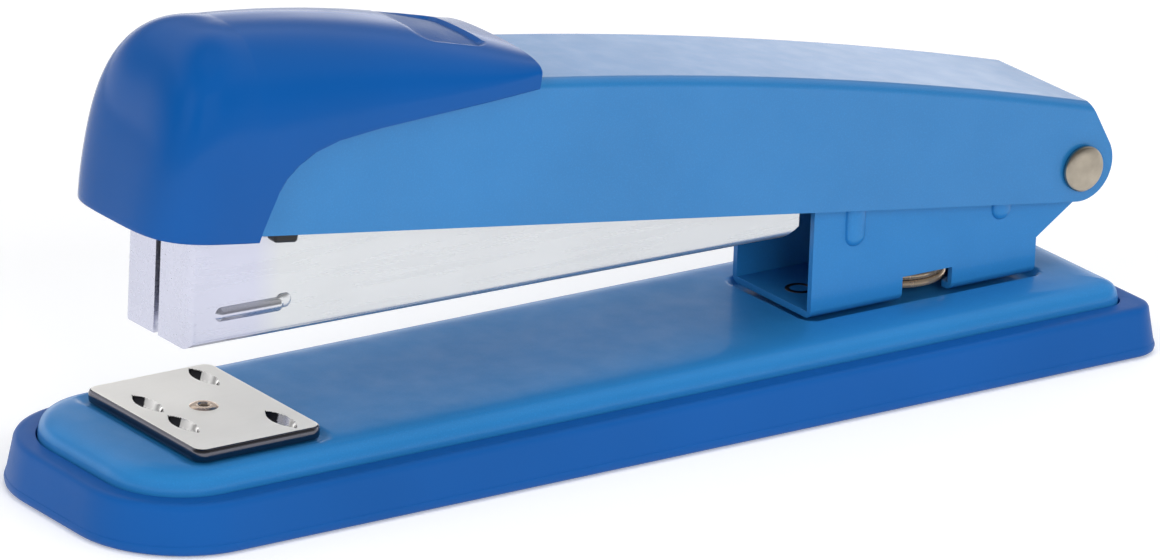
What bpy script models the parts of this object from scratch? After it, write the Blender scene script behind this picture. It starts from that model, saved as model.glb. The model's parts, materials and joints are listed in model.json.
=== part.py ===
"""Metal desk stapler with a turning anvil: base, hinged magazine, lifting arm and plastic head cap.

Metres, +Z up. The nose points to -X and the hinge is at +X. The origin is the centre of the footprint.
The magazine and the arm both turn on the rear pin, so each is modelled level in its own pivot frame,
with u forward from the pin and w up from it, and its empty gives it the pitch it has at rest.
"""

import math

import bmesh
import bpy
from mathutils import Matrix, Vector

MM = 0.001
GAP = 0.3  # running gap between neighbouring pieces, mm

# Driving dimensions, mm
PIVOT_X = 74.35
PIVOT_Z = 24.65
ARM_PITCH = math.radians(7.67)
MAGAZINE_PITCH = math.radians(0.74)

SHOE_LENGTH = 165.0
SHOE_HALF_WIDTH = 21.8
SHOE_HEIGHT = 6.75
SHOE_DRAFT = 1.2
SHOE_FRONT_CORNER = 15.0
SHOE_REAR_CORNER = 4.5
PLATE_INSET = 4.2
PLATE_TOP = 9.95
PLATE_THICKNESS = 1.0
PLATE_FOOT = 5.4

ANVIL_X = -59.2
ANVIL_LENGTH = 19.4
ANVIL_HALF_WIDTH = 13.7
ANVIL_THICKNESS = 1.1
ANVIL_POST_RADIUS = 1.2
BUTTON_RADIUS = 8.0

BRACKET_FRONT = 31.35
BRACKET_REAR = 68.95
BRACKET_HALF_WIDTH = 8.9
RIVETS = (36.0, 63.0)
RIVET_RADIUS = 1.5
RIB_RADIUS = 1.6
RIB_HEIGHT = 0.6
SHEET = 0.9

WINDOW_FRONT = 27.8
WINDOW_REAR = 19.5
WINDOW_HEIGHT = 2.9

SPRING_X = 52.5
SPRING_RADIUS = 6.0
SPRING_WIRE = 1.0

MAGAZINE_NOSE = 141.2
MAGAZINE_HALF_WIDTH = 7.6
MAGAZINE_SHEET = 1.0
MAGAZINE_BOTTOM = -3.9
MAGAZINE_TOP = 7.5
NOSE_TOP = 12.6
SLIT = 1.1
EXIT_SLOT = 2.2

RAIL_HALF_WIDTH = 5.2
RAIL_TOP = 3.6
RAIL_REAR = 52.0
RAIL_PIN_U = 56.0
RAIL_PIN_W = -1.7
RAIL_PIN_RADIUS = 0.7
ROD_RADIUS = 1.0
ROD_W = 0.3
PUSHER_FRONT = 134.0
PUSHER_LENGTH = 9.0

ARM_HALF_WIDTH = 11.1
ARM_BOTTOM = -4.7
ARM_FRONT = 137.0
ARM_REAR_TOP = 9.1
EAR_RADIUS = 5.2
PIN_RADIUS = 2.5
PIN_HEAD_RADIUS = 3.2

CAP_REAR = 93.4
CAP_FRONT = 148.8
CAP_RIM = -5.2
CAP_CAVITY_HALF_WIDTH = 11.4

COLOURS = {
    "cap_blue": ((0.02, 0.10, 0.38, 1), 0.25, 0.0),
    "shoe_blue": ((0.03, 0.11, 0.40, 1), 0.5, 0.0),
    "paint_blue": ((0.06, 0.24, 0.58, 1), 0.35, 0.3),
    "zinc": ((0.75, 0.76, 0.80, 1), 0.3, 1.0),
    "nickel": ((0.70, 0.68, 0.64, 1), 0.2, 1.0),
    "spring_steel": ((0.35, 0.28, 0.20, 1), 0.3, 1.0),
    "black_plastic": ((0.02, 0.02, 0.02, 1), 0.5, 0.0),
}


def clear_scene():
    for obj in list(bpy.data.objects):
        bpy.data.objects.remove(obj, do_unlink=True)


def collection(name, hidden=False):
    made = bpy.data.collections.new(name)
    bpy.context.scene.collection.children.link(made)
    made.hide_render = hidden
    return made


def material(name):
    colour, roughness, metallic = COLOURS[name]
    made = bpy.data.materials.new(name)
    made.use_nodes = True
    shader = made.node_tree.nodes["Principled BSDF"]
    shader.inputs["Base Color"].default_value = colour
    shader.inputs["Roughness"].default_value = roughness
    shader.inputs["Metallic"].default_value = metallic
    return made


clear_scene()
PARTS = collection("stapler")
CUTTERS = collection("cutters", hidden=True)


def empty(name, pitch):
    """A frame on the hinge pin, pitched nose up."""
    made = bpy.data.objects.new(name, None)
    made.location = (PIVOT_X * MM, 0, PIVOT_Z * MM)
    made.rotation_euler = (0, pitch, 0)
    PARTS.objects.link(made)
    return made


ARM_FRAME = empty("arm_frame", ARM_PITCH)
MAGAZINE_FRAME = empty("magazine_frame", MAGAZINE_PITCH)


def finish(obj, colour, parent=None, smooth=True):
    """Gives a part its own material, its frame and its shading."""
    shade = material(colour)
    shade.name = obj.name
    obj.data.materials.clear()
    obj.data.materials.append(shade)
    obj.parent = parent
    for modifier in obj.modifiers:
        if modifier.type == "BOOLEAN":
            modifier.object.parent = parent
    if smooth:
        obj.data.shade_smooth()
        obj.data.set_sharp_from_angle(angle=math.radians(35))
    return obj


def link_mesh(bm, name, target=PARTS):
    """Makes an object of a bmesh, with its points in millimetres, and clears the bmesh."""
    bmesh.ops.recalc_face_normals(bm, faces=bm.faces)
    bmesh.ops.scale(bm, vec=(MM, MM, MM), verts=bm.verts)
    mesh = bpy.data.meshes.new(name)
    bm.to_mesh(mesh)
    bm.free()
    obj = bpy.data.objects.new(name, mesh)
    target.objects.link(obj)
    if target is CUTTERS:
        obj.hide_render = True
        obj.display_type = "WIRE"
    return obj


def box(name, low, high, target=PARTS):
    """A block between two corners, in millimetres."""
    bm = bmesh.new()
    size = Vector(high) - Vector(low)
    centre = (Vector(high) + Vector(low)) / 2
    bmesh.ops.create_cube(bm, size=1, matrix=Matrix.Translation(centre) @ Matrix.Diagonal((*size, 1)))
    return link_mesh(bm, name, target)


def cylinder(name, centre, radius, depth, axis="Z", target=PARTS, segments=32, top_radius=None):
    """A closed cylinder or cone about its centre, along an axis."""
    turn = {
        "Z": Matrix.Identity(4),
        "Y": Matrix.Rotation(math.pi / 2, 4, "X"),
        "X": Matrix.Rotation(math.pi / 2, 4, "Y"),
    }[axis]
    bm = bmesh.new()
    bmesh.ops.create_cone(
        bm,
        cap_ends=True,
        segments=segments,
        radius1=radius,
        radius2=radius if top_radius is None else top_radius,
        depth=depth,
        matrix=Matrix.Translation(Vector(centre)) @ turn,
    )
    return link_mesh(bm, name, target)


def prism(name, outline, half_width, target=PARTS):
    """A flat outline of (u, w) points in a pivot frame, extruded to both sides of the centre plane."""
    bm = bmesh.new()
    near = [bm.verts.new((-u, -half_width, w)) for u, w in outline]
    face = bm.faces.new(near)
    extruded = bmesh.ops.extrude_face_region(bm, geom=[face])
    moved = [v for v in extruded["geom"] if isinstance(v, bmesh.types.BMVert)]
    bmesh.ops.translate(bm, vec=(0, 2 * half_width, 0), verts=moved)
    return link_mesh(bm, name, target)


def slab(name, outline, low, high, target=PARTS):
    """A plan outline of (x, y) points, extruded between two heights."""
    bm = bmesh.new()
    face = bm.faces.new([bm.verts.new((x, y, low)) for x, y in outline])
    extruded = bmesh.ops.extrude_face_region(bm, geom=[face])
    moved = [v for v in extruded["geom"] if isinstance(v, bmesh.types.BMVert)]
    bmesh.ops.translate(bm, vec=(0, 0, high - low), verts=moved)
    return link_mesh(bm, name, target)


def turned(name, profile, place=(0, 0, 0), axis="Z", steps=32, target=PARTS):
    """A closed turned shape: (radius, height) points from the top of the axis to its foot."""
    bm = bmesh.new()
    points = [bm.verts.new((radius, 0, height)) for radius, height in profile]
    for a, b in zip(points, points[1:]):
        bm.edges.new((a, b))
    bmesh.ops.scale(bm, vec=(MM, MM, MM), verts=bm.verts)
    mesh = bpy.data.meshes.new(name)
    bm.to_mesh(mesh)
    bm.free()
    obj = bpy.data.objects.new(name, mesh)
    target.objects.link(obj)
    screw = obj.modifiers.new("turn", "SCREW")
    screw.steps = steps
    screw.render_steps = steps
    screw.use_merge_vertices = True
    screw.merge_threshold = 0.00001
    obj.location = Vector(place) * MM
    if axis == "Y":
        obj.rotation_euler = (math.pi / 2, 0, 0)
    return obj


def bead(name, start, end, y, radius, height):
    """A round-ended raised rib on a wall at y, between two (u, w) points of a pivot frame."""
    (u0, w0), (u1, w1) = start, end
    length = math.hypot(u1 - u0, w1 - w0)
    bm = bmesh.new()
    bmesh.ops.create_uvsphere(bm, u_segments=12, v_segments=8, radius=1)
    for vert in bm.verts:
        vert.co = Vector((vert.co.x * radius, vert.co.y * height, vert.co.z * radius))
        vert.co.z += math.copysign(length / 2, vert.co.z) if abs(vert.co.z) > 0.001 else 0.0
    lean = Matrix.Rotation(math.atan2(-(u1 - u0), w1 - w0), 4, "Y")
    middle = Vector((-(u0 + u1) / 2, y, (w0 + w1) / 2))
    bmesh.ops.transform(bm, matrix=Matrix.Translation(middle) @ lean, verts=bm.verts)
    return link_mesh(bm, name, CUTTERS)


def cut(obj, *cutters, operation="DIFFERENCE"):
    """Booleans on the object, one for each cutter."""
    for cutter in cutters:
        made = obj.modifiers.new(cutter.name, "BOOLEAN")
        made.object = cutter
        made.operation = operation
    return obj


def bevel(obj, width, segments=3, angle=30, weights=False):
    made = obj.modifiers.new("bevel", "BEVEL")
    made.width = width * MM
    made.segments = segments
    made.limit_method = "WEIGHT" if weights else "ANGLE"
    made.angle_limit = math.radians(angle)
    made.use_clamp_overlap = True
    return obj


def weigh_edges(obj, chosen):
    """Marks for bevelling the edges whose two ends and direction, in millimetres, pass the test."""
    mesh = obj.data
    weight = mesh.attributes.new("bevel_weight_edge", "FLOAT", "EDGE")
    for edge in mesh.edges:
        a, b = (mesh.vertices[i].co / MM for i in edge.vertices)
        weight.data[edge.index].value = 1.0 if chosen(a, b) else 0.0


def arc(centre, radius, start, end, steps):
    """Points of an arc in a plane, its angles in degrees."""
    return [
        (
            centre[0] + radius * math.cos(math.radians(start + (end - start) * i / steps)),
            centre[1] + radius * math.sin(math.radians(start + (end - start) * i / steps)),
        )
        for i in range(steps + 1)
    ]


def rounded_plan(half_length, half_width, radius, steps=8, centre_x=0.0, rear_radius=None):
    """A rectangle with round corners, anticlockwise from its rear left side; the rear ones may be tighter."""
    points = []
    for sx, sy, start in ((1, 1, 0), (-1, 1, 90), (-1, -1, 180), (1, -1, 270)):
        r = rear_radius if sx > 0 and rear_radius is not None else radius
        middle = (centre_x + sx * (half_length - r), sy * (half_width - r))
        points += arc(middle, r, start, start + 90, steps)
    return points


def coil(name, radius, wire, heights_by_turn, place, axis="Z", points_per_turn=12):
    """A wire coil with filled caps, its height at each whole turn given from its first end."""
    turns = len(heights_by_turn) - 1
    count = turns * points_per_turn + 1
    curve = bpy.data.curves.new(name, "CURVE")
    curve.dimensions = "3D"
    curve.bevel_depth = wire / 2 * MM
    curve.bevel_resolution = 1
    curve.use_fill_caps = True
    spline = curve.splines.new("POLY")
    spline.points.add(count - 1)
    for i in range(count):
        turn = i / points_per_turn
        whole = min(int(turn), turns - 1)
        height = heights_by_turn[whole] + (turn - whole) * (heights_by_turn[whole + 1] - heights_by_turn[whole])
        a = 2 * math.pi * turn
        across = (radius * math.cos(a), radius * math.sin(a))
        point = (*across, height) if axis == "Z" else (height, *across)
        spline.points[i].co = (*(Vector(point) * MM), 1)
    obj = bpy.data.objects.new(name, curve)
    obj.location = Vector(place) * MM
    PARTS.objects.link(obj)
    return obj


# ---------------------------------------------------------------- base


def lofted_slab(name, levels, target=PARTS):
    """A closed solid through plan outlines of equal point count, one for each (height, outline)."""
    bm = bmesh.new()
    loops = [[bm.verts.new((x, y, z)) for x, y in outline] for z, outline in levels]
    for lower, upper in zip(loops, loops[1:]):
        count = len(lower)
        for i in range(count):
            bm.faces.new((lower[i], lower[(i + 1) % count], upper[(i + 1) % count], upper[i]))
    bm.faces.new(loops[0])
    bm.faces.new(loops[-1])
    return link_mesh(bm, name, target)


def shoe_plan(inset, steps=7):
    """The shoe's footprint, moved in all round, its rear corners never sharper than 3 mm."""
    front = SHOE_FRONT_CORNER - inset
    rear = max(SHOE_REAR_CORNER - inset, 3.0)
    return rounded_plan(SHOE_LENGTH / 2 - inset, SHOE_HALF_WIDTH - inset, front, steps, rear_radius=rear)


def make_shoe():
    """Moulded tray: drafted skirt, flat floor, a ledge round the plate and a hole over the anvil button."""
    wall = 1.8
    shoe = lofted_slab(
        "base_shoe",
        [
            (0.0, shoe_plan(0.8)),
            (0.8, shoe_plan(0.0)),
            (SHOE_HEIGHT - 0.9, shoe_plan(SHOE_DRAFT - 0.2)),
            (SHOE_HEIGHT - 0.2, shoe_plan(SHOE_DRAFT + 0.2)),
            (SHOE_HEIGHT, shoe_plan(SHOE_DRAFT + 0.9)),
        ],
    )
    ledge = slab("shoe_ledge", shoe_plan(PLATE_INSET - GAP), PLATE_FOOT - GAP, 20, CUTTERS)
    hollow = slab("shoe_hollow", shoe_plan(PLATE_INSET + wall), 1.8, 20, CUTTERS)
    hole = cylinder("button_hole", (ANVIL_X, 0, 0), BUTTON_RADIUS + 0.6, 12, target=CUTTERS)
    cut(shoe, ledge, hollow, hole)
    return finish(shoe, "shoe_blue")


# The plate's section from its foot to its flat top: inset from the foot and drop from the top
PLATE_SHOULDER = ((0.0, PLATE_TOP - PLATE_FOOT), (0.15, 2.2), (0.5, 1.2), (1.2, 0.6), (2.4, 0.25), (5.2, 0.0))


def make_base_plate():
    """Pressed steel lid: flat top, soft shoulders and an open underside."""
    levels = [(PLATE_TOP - drop, shoe_plan(PLATE_INSET + inset)) for inset, drop in PLATE_SHOULDER]
    plate = lofted_slab("base_plate", levels)
    wall = PLATE_INSET + 1.2
    under = [(PLATE_FOOT - 1, wall), (PLATE_TOP - 2.6, wall), (PLATE_TOP - PLATE_THICKNESS, wall + 1.5)]
    inside = lofted_slab("plate_inside", [(z, shoe_plan(inset)) for z, inset in under], CUTTERS)
    hole = cylinder("anvil_hole", (ANVIL_X, 0, PLATE_TOP), ANVIL_POST_RADIUS + GAP, 8, target=CUTTERS)
    holes = [
        cylinder(f"rivet_hole_{i}", (x, 0, PLATE_TOP), RIVET_RADIUS + GAP, 8, target=CUTTERS, segments=20)
        for i, x in enumerate(RIVETS)
    ]
    cut(plate, inside, hole, *holes)
    return finish(plate, "paint_blue")


def make_anvil():
    top = PLATE_TOP + GAP
    plan = rounded_plan(ANVIL_LENGTH / 2, ANVIL_HALF_WIDTH, 1.6, 4, ANVIL_X)
    plate = slab("anvil_plate", plan, top, top + ANVIL_THICKNESS)
    bevel(plate, 0.3, 2)
    grooves = []
    pairs = ((-5.9, 4.3), (5.9, 8.9))
    for i, (dx, dy) in enumerate(pairs):
        for side in (-1, 1):
            bm = bmesh.new()
            bmesh.ops.create_uvsphere(bm, u_segments=16, v_segments=10, radius=1)
            shape = Matrix.Diagonal((1.3, 3.6, 0.7, 1))
            bmesh.ops.transform(
                bm,
                matrix=Matrix.Translation((ANVIL_X + dx, side * dy, top + ANVIL_THICKNESS)) @ shape,
                verts=bm.verts,
            )
            grooves.append(link_mesh(bm, f"groove_{i}_{side}", CUTTERS))
    bore = cylinder("anvil_bore", (ANVIL_X, 0, top), ANVIL_POST_RADIUS + GAP, 8, target=CUTTERS)
    cut(plate, bore, *grooves)
    finish(plate, "nickel")

    foot = 2.2
    profile = [
        (0.0, top + 0.9),
        (0.6, top + 0.9),
        (0.7, top + ANVIL_THICKNESS + 0.6),
        (1.4, top + ANVIL_THICKNESS + 0.6),
        (2.0, top + ANVIL_THICKNESS + GAP),
        (ANVIL_POST_RADIUS, top + ANVIL_THICKNESS + GAP),
        (ANVIL_POST_RADIUS, foot + 1.4),
        (0.0, foot + 1.4),
    ]
    post = turned("anvil_rivet", profile, (ANVIL_X, 0, 0))
    finish(post, "nickel", smooth=False)

    button = turned(
        "anvil_button",
        [
            (0, foot + 1.1),
            (BUTTON_RADIUS - 0.4, foot + 1.1),
            (BUTTON_RADIUS, foot + 0.8),
            (BUTTON_RADIUS, foot - 1.2),
            (BUTTON_RADIUS - 1, foot - 1.6),
            (0, foot - 1.6),
        ],
        (ANVIL_X, 0, 0),
    )
    finish(button, "zinc", smooth=False)
    spring_top = PLATE_TOP - PLATE_THICKNESS - GAP
    spring_foot = foot + 1.1 + GAP
    heights = [spring_foot + 0.4 + (spring_top - spring_foot - 0.8) * i / 4 for i in range(5)]
    finish(coil("anvil_spring", 3.4, 0.7, heights, (ANVIL_X, 0, 0)), "spring_steel", smooth=False)


def make_bracket():
    """Pressed U that carries the hinge pin: holed floor, windowed near wall and two ribs on each wall."""
    floor = PLATE_TOP + GAP
    front, rear = PIVOT_X - BRACKET_FRONT, PIVOT_X - BRACKET_REAR
    low = floor - PIVOT_Z
    outline = [(front, low), (front, 2.0), (30.0, 3.6)]
    outline += arc((0, 0), 5.0, 80, 235, 12)
    outline += [(rear, low + 5.2), (rear, low)]
    frame = empty("bracket_frame", 0.0)
    bracket = prism("hanger_bracket", outline, BRACKET_HALF_WIDTH)

    def floor_edge(a, b):
        return abs(a.z - low) < 0.01 and abs(b.z - low) < 0.01 and abs(a.y - b.y) < 0.01

    weigh_edges(bracket, floor_edge)
    bevel(bracket, 1.2, 3, weights=True)
    inside = box(
        "bracket_inside",
        (-60, -BRACKET_HALF_WIDTH + SHEET, low + SHEET),
        (20, BRACKET_HALF_WIDTH - SHEET, 40),
        CUTTERS,
    )
    pin = cylinder("bracket_pin_hole", (0, 0, 0), PIN_RADIUS + GAP, 40, "Y", CUTTERS)
    window_high = low + WINDOW_HEIGHT
    window = box("bracket_window", (-WINDOW_FRONT, -20, low - 1), (-WINDOW_REAR, -5, window_high), CUTTERS)
    rivet_hole = RIVET_RADIUS + GAP
    holes = [
        cylinder(f"bracket_rivet_hole_{i}", (x - PIVOT_X, 0, low), rivet_hole, 8, target=CUTTERS, segments=20)
        for i, x in enumerate(RIVETS)
    ]
    well = SPRING_RADIUS + SPRING_WIRE / 2 + 2 * GAP
    spring_hole = cylinder("spring_hole", (SPRING_X - PIVOT_X, 0, low), well, 8, target=CUTTERS)
    cut(bracket, inside, pin, window, spring_hole, *holes)
    for side in (-1, 1):
        for u, high, foot in ((36.2, 0.2, -4.0), (11.7, -2.6, -4.4)):
            name = f"bracket_rib_{u}_{side}"
            rib = bead(name, (u, high), (u, foot), side * BRACKET_HALF_WIDTH, RIB_RADIUS, RIB_HEIGHT)
            cut(bracket, rib, operation="UNION")
    finish(bracket, "paint_blue", frame)
    make_bracket_rivets(floor + SHEET + GAP)


def make_bracket_rivets(top):
    """Two rivets that hold the bracket's floor to the plate, each with a head above and one below."""
    under = PLATE_TOP - PLATE_THICKNESS - GAP
    profile = [
        (0, top + 0.9),
        (1.8, top + 0.7),
        (2.8, top),
        (RIVET_RADIUS, top),
        (RIVET_RADIUS, under),
        (2.6, under),
        (2.2, under - 0.8),
        (0, under - 0.8),
    ]
    for x, end in zip(RIVETS, ("front", "rear")):
        rivet = turned(f"bracket_rivet_{end}", profile, (x, 0, 0), steps=20)
        finish(rivet, "nickel", smooth=False)


def make_pin():
    reach = ARM_HALF_WIDTH + GAP
    head = 0.9
    angles = [math.radians(18 * i) for i in range(6)]
    dome = [(PIN_HEAD_RADIUS * math.sin(a), head * math.cos(a)) for a in angles]
    profile = [(r, reach + h) for r, h in dome]
    profile += [(PIN_RADIUS, reach), (PIN_RADIUS, -reach)]
    profile += [(r, -reach - h) for r, h in reversed(dome)]
    pin = turned("pivot_pin", profile, (PIVOT_X, 0, PIVOT_Z), "Y")
    return finish(pin, "nickel", smooth=False)


def make_return_spring():
    """Coil from the plate, through the hole in the bracket's floor, to the magazine's underside."""
    foot = PLATE_TOP + GAP + SPRING_WIRE / 2
    seat = PIVOT_Z + 2.2 + (PIVOT_X - SPRING_X) * math.sin(MAGAZINE_PITCH) - GAP - SPRING_WIRE / 2 - 0.2
    close = SPRING_WIRE * 1.2
    open_pitch = (seat - foot - 4 * close) / 4
    steps = [close] * 3 + [open_pitch] * 4 + [close]
    heights = [foot]
    for step in steps:
        heights.append(heights[-1] + step)
    spring = coil("return_spring", SPRING_RADIUS, SPRING_WIRE, heights, (SPRING_X, 0, 0), points_per_turn=16)
    return finish(spring, "spring_steel", smooth=False)


# ---------------------------------------------------------------- magazine


def make_magazine():
    low, sheet = MAGAZINE_BOTTOM, MAGAZINE_SHEET
    seat = 2.2
    ear = arc((0, 0), 4.4, -70, -180, 8)
    outline = [(MAGAZINE_NOSE, low), (47.0, low), (44.6, low + 1.6), (44.6, seat), (13.0, seat)]
    outline += ear
    outline += [(-4.4, 3.0), (-1.5, MAGAZINE_TOP - 0.5), (96.0, MAGAZINE_TOP)]
    outline += [(120.0, NOSE_TOP), (MAGAZINE_NOSE, NOSE_TOP)]
    channel = prism("magazine_channel", outline, MAGAZINE_HALF_WIDTH)

    def rolled(a, b):
        along = abs(a.y - b.y) < 0.01 and abs(a.z - low) < 0.01 and abs(b.z - low) < 0.01
        at_nose = abs(a.x + MAGAZINE_NOSE) < 0.01 and abs(b.x + MAGAZINE_NOSE) < 0.01
        return along or (at_nose and abs(a.y - b.y) < 0.01)

    weigh_edges(channel, rolled)
    bevel(channel, 1.3, 3, weights=True)
    inner = [(MAGAZINE_NOSE - sheet, low + sheet), (45.8, low + sheet), (43.4, low + sheet + 2.2)]
    inner += [(43.4, seat + sheet), (12.0, seat + sheet), (12.0, -8.0), (-12.0, -8.0), (-12.0, 22.0)]
    inner += [(MAGAZINE_NOSE - sheet, 22.0)]
    inside = prism("magazine_inside", inner, MAGAZINE_HALF_WIDTH - sheet, CUTTERS)
    nose = -MAGAZINE_NOSE
    slit = box("nose_slit", (nose - 2, -SLIT / 2, low - 2), (nose + 2, SLIT / 2, 30), CUTTERS)
    front = nose + sheet
    exit_slot = box(
        "exit_slot",
        (front, -MAGAZINE_HALF_WIDTH + sheet, low - 2),
        (front + EXIT_SLOT, MAGAZINE_HALF_WIDTH - sheet, low + 3),
        CUTTERS,
    )
    pin = cylinder("magazine_pin_hole", (0, 0, 0), PIN_RADIUS + GAP, 40, "Y", CUTTERS)
    cut(channel, inside, slit, exit_slot, pin)
    for side in (-1, 1):
        rib = bead(f"nose_rib_{side}", (136.2, 0.35), (127.6, 0.35), side * MAGAZINE_HALF_WIDTH, 0.95, 0.35)
        cut(channel, rib, operation="UNION")
    return finish(channel, "zinc", MAGAZINE_FRAME)


def make_rail():
    """Inverted U that the staples ride on, slotted along its top for the pusher's tongue."""
    front = MAGAZINE_NOSE - MAGAZINE_SHEET - EXIT_SLOT
    foot = MAGAZINE_BOTTOM + MAGAZINE_SHEET + GAP
    rail = box("staple_rail", (-front, -RAIL_HALF_WIDTH, foot), (-RAIL_REAR, RAIL_HALF_WIDTH, RAIL_TOP))
    bevel(rail, 0.4, 2)
    inside = box(
        "rail_inside",
        (-front + 1.2, -RAIL_HALF_WIDTH + 0.8, foot - 1),
        (-RAIL_REAR - 1.2, RAIL_HALF_WIDTH - 0.8, RAIL_TOP - 0.8),
        CUTTERS,
    )
    slot = box("rail_slot", (-front + 3, -1.2, 0), (-RAIL_REAR - 4, 1.2, RAIL_TOP + 2), CUTTERS)
    pin = cylinder("rail_pin_hole", (-RAIL_PIN_U, 0, RAIL_PIN_W), RAIL_PIN_RADIUS + GAP, 40, "Y", CUTTERS, 16)
    cut(rail, inside, slot, pin)
    finish(rail, "zinc", MAGAZINE_FRAME)
    rod_end = front - 1.2 - GAP
    rod = cylinder(
        "pusher_rod",
        (-(rod_end + RAIL_REAR + 1.2 + GAP) / 2, 0, ROD_W),
        ROD_RADIUS,
        rod_end - (RAIL_REAR + 1.2 + GAP),
        "X",
        segments=16,
    )
    finish(rod, "zinc", MAGAZINE_FRAME)


def make_pusher():
    """Saddle over the rail with a tongue down to a collar on the rod."""
    rear = PUSHER_FRONT - PUSHER_LENGTH
    wall = 0.8
    outer = RAIL_HALF_WIDTH + GAP + wall
    saddle = box("pusher", (-PUSHER_FRONT, -outer, -1.6), (-rear, outer, RAIL_TOP + GAP + 1.6))
    bevel(saddle, 0.3, 1)
    inside = box(
        "pusher_inside",
        (-PUSHER_FRONT - 1, -RAIL_HALF_WIDTH - GAP, -5),
        (-rear + 1, RAIL_HALF_WIDTH + GAP, RAIL_TOP + GAP),
        CUTTERS,
    )
    tongue_low, tongue_high = ROD_W + 1.5, RAIL_TOP + GAP + 0.8
    tongue = box("pusher_tongue", (-PUSHER_FRONT + 1.5, -0.8, tongue_low), (-rear - 1.5, 0.8, tongue_high), CUTTERS)
    middle = -(PUSHER_FRONT + rear) / 2
    collar = cylinder("pusher_collar", (middle, 0, ROD_W), 2.2, PUSHER_LENGTH - 3, "X", CUTTERS, 20)
    bore = cylinder("pusher_bore", (middle, 0, ROD_W), ROD_RADIUS + GAP, PUSHER_LENGTH + 4, "X", CUTTERS, 16)
    cut(saddle, inside)
    cut(saddle, tongue, collar, operation="UNION")
    cut(saddle, bore)
    finish(saddle, "black_plastic", MAGAZINE_FRAME)
    start = rear + 1.5 - GAP - 0.35
    end = RAIL_PIN_U + RAIL_PIN_RADIUS + GAP + 0.35
    turns = 24
    heights = [-start + (start - end) * i / turns for i in range(turns + 1)]
    spring = coil("pusher_spring", 1.85, 0.5, heights, (0, 0, ROD_W), "X", 8)
    finish(spring, "spring_steel", MAGAZINE_FRAME, smooth=False)


def make_rail_pin():
    """Cross pin in the rail that the pusher spring bears on."""
    length = 2 * RAIL_HALF_WIDTH
    pin = cylinder("rail_pin", (-RAIL_PIN_U, 0, RAIL_PIN_W), RAIL_PIN_RADIUS, length, "Y", segments=16)
    finish(pin, "nickel", MAGAZINE_FRAME)


# ---------------------------------------------------------------- arm


def arm_top(u):
    """Height of the arm's top over the pin."""
    return ARM_REAR_TOP + 0.1255 * u - 0.000679 * u * u


def make_arm():
    """Pressed channel, open below, with two ears round the pin."""
    top = [(u, arm_top(u)) for u in (ARM_FRONT, 120, 105, 90, 75, 60, 45, 30, 15, 0)]
    ear = arc((0, 0.4), EAR_RADIUS, 145, 270, 12)
    outline = top + ear + [(ARM_FRONT, ARM_BOTTOM)]
    arm = prism("handle_arm", outline, ARM_HALF_WIDTH)

    def ridge(a, b):
        return abs(a.y - b.y) < 0.01 and min(a.z, b.z) > ARM_REAR_TOP - 0.1 and abs(a.x - b.x) > 1

    weigh_edges(arm, ridge)
    bevel(arm, 1.4, 3, weights=True)
    skin = [(ARM_FRONT + 5, arm_top(ARM_FRONT))] + top + [(-12, ARM_REAR_TOP - 1.5)]
    inner = [(u, w - SHEET) for u, w in skin]
    inner += [(-12, -12), (ARM_FRONT + 5, -12)]
    inside = prism("arm_inside", inner, ARM_HALF_WIDTH - SHEET, CUTTERS)
    pin = cylinder("arm_pin_hole", (0, 0, 0), PIN_RADIUS + GAP, 40, "Y", CUTTERS)
    cut(arm, inside, pin)
    return finish(arm, "paint_blue", ARM_FRAME)


def cap_form(name, front, half_rim, half_knee, nose, top_drop, rear, target=PARTS, sections=10, rows=8):
    """The cap's outer or inner form: a hood from a round front to a flat rear end.

    Each station is a profile from the rim up a wall to a knee, then along a superellipse to the spine.
    """
    power_plan, power_top = 3.9, 2.6
    spine_end = front - nose
    stations = []
    for i in range(sections):
        share = i / sections
        stations.append((rear + (spine_end - rear) * share, 1.0, 0.0, share))
    for i in range(sections + 1):
        a = math.pi / 2 * i / sections
        forward = nose * math.sin(a) ** (2 / power_plan)
        across = math.cos(a) ** (2 / power_plan) if i < sections else 0.0
        stations.append((spine_end + forward, across, forward, 1.0))
    bm = bmesh.new()
    grid = []
    for u, across, forward, share in stations:
        spine_u = min(u, spine_end)
        q = (spine_u - CAP_REAR) / (CAP_FRONT - CAP_REAR)
        spine_w = 21.4 - 9.3 * (q - 0.6) ** 2 - top_drop
        knee_w = 15.8 + (1.8 - 15.8) * share - top_drop
        knee = half_knee[0] + (half_knee[1] - half_knee[0]) * share
        rim = half_rim[0] + (half_rim[1] - half_rim[0]) * share
        profile = [(forward, across * rim, CAP_RIM)]
        profile.append((forward, across * knee, knee_w))
        for k in range(1, rows + 1):
            a = math.pi / 2 * k / rows
            inward = math.cos(a) ** (2 / power_top) if k < rows else 0.0
            rise = (spine_w - knee_w) * math.sin(a) ** (2 / power_top)
            profile.append((forward * inward, across * knee * inward, knee_w + rise))
        near = [bm.verts.new((-(spine_u + f), -y, w)) for f, y, w in profile]
        far = [bm.verts.new((-(spine_u + f), y, w)) for f, y, w in reversed(profile[:-1])]
        grid.append(near + far)
    for a, b in zip(grid, grid[1:]):
        for i in range(len(a) - 1):
            bm.faces.new((a[i], a[i + 1], b[i + 1], b[i]))
    bm.faces.new(grid[0])
    rim_loop = [row[0] for row in grid] + [row[-1] for row in reversed(grid[:-1])]
    bm.faces.new(rim_loop)
    bmesh.ops.remove_doubles(bm, verts=bm.verts, dist=0.001)
    bmesh.ops.dissolve_degenerate(bm, edges=bm.edges, dist=0.001)
    return link_mesh(bm, name, target)


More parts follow.
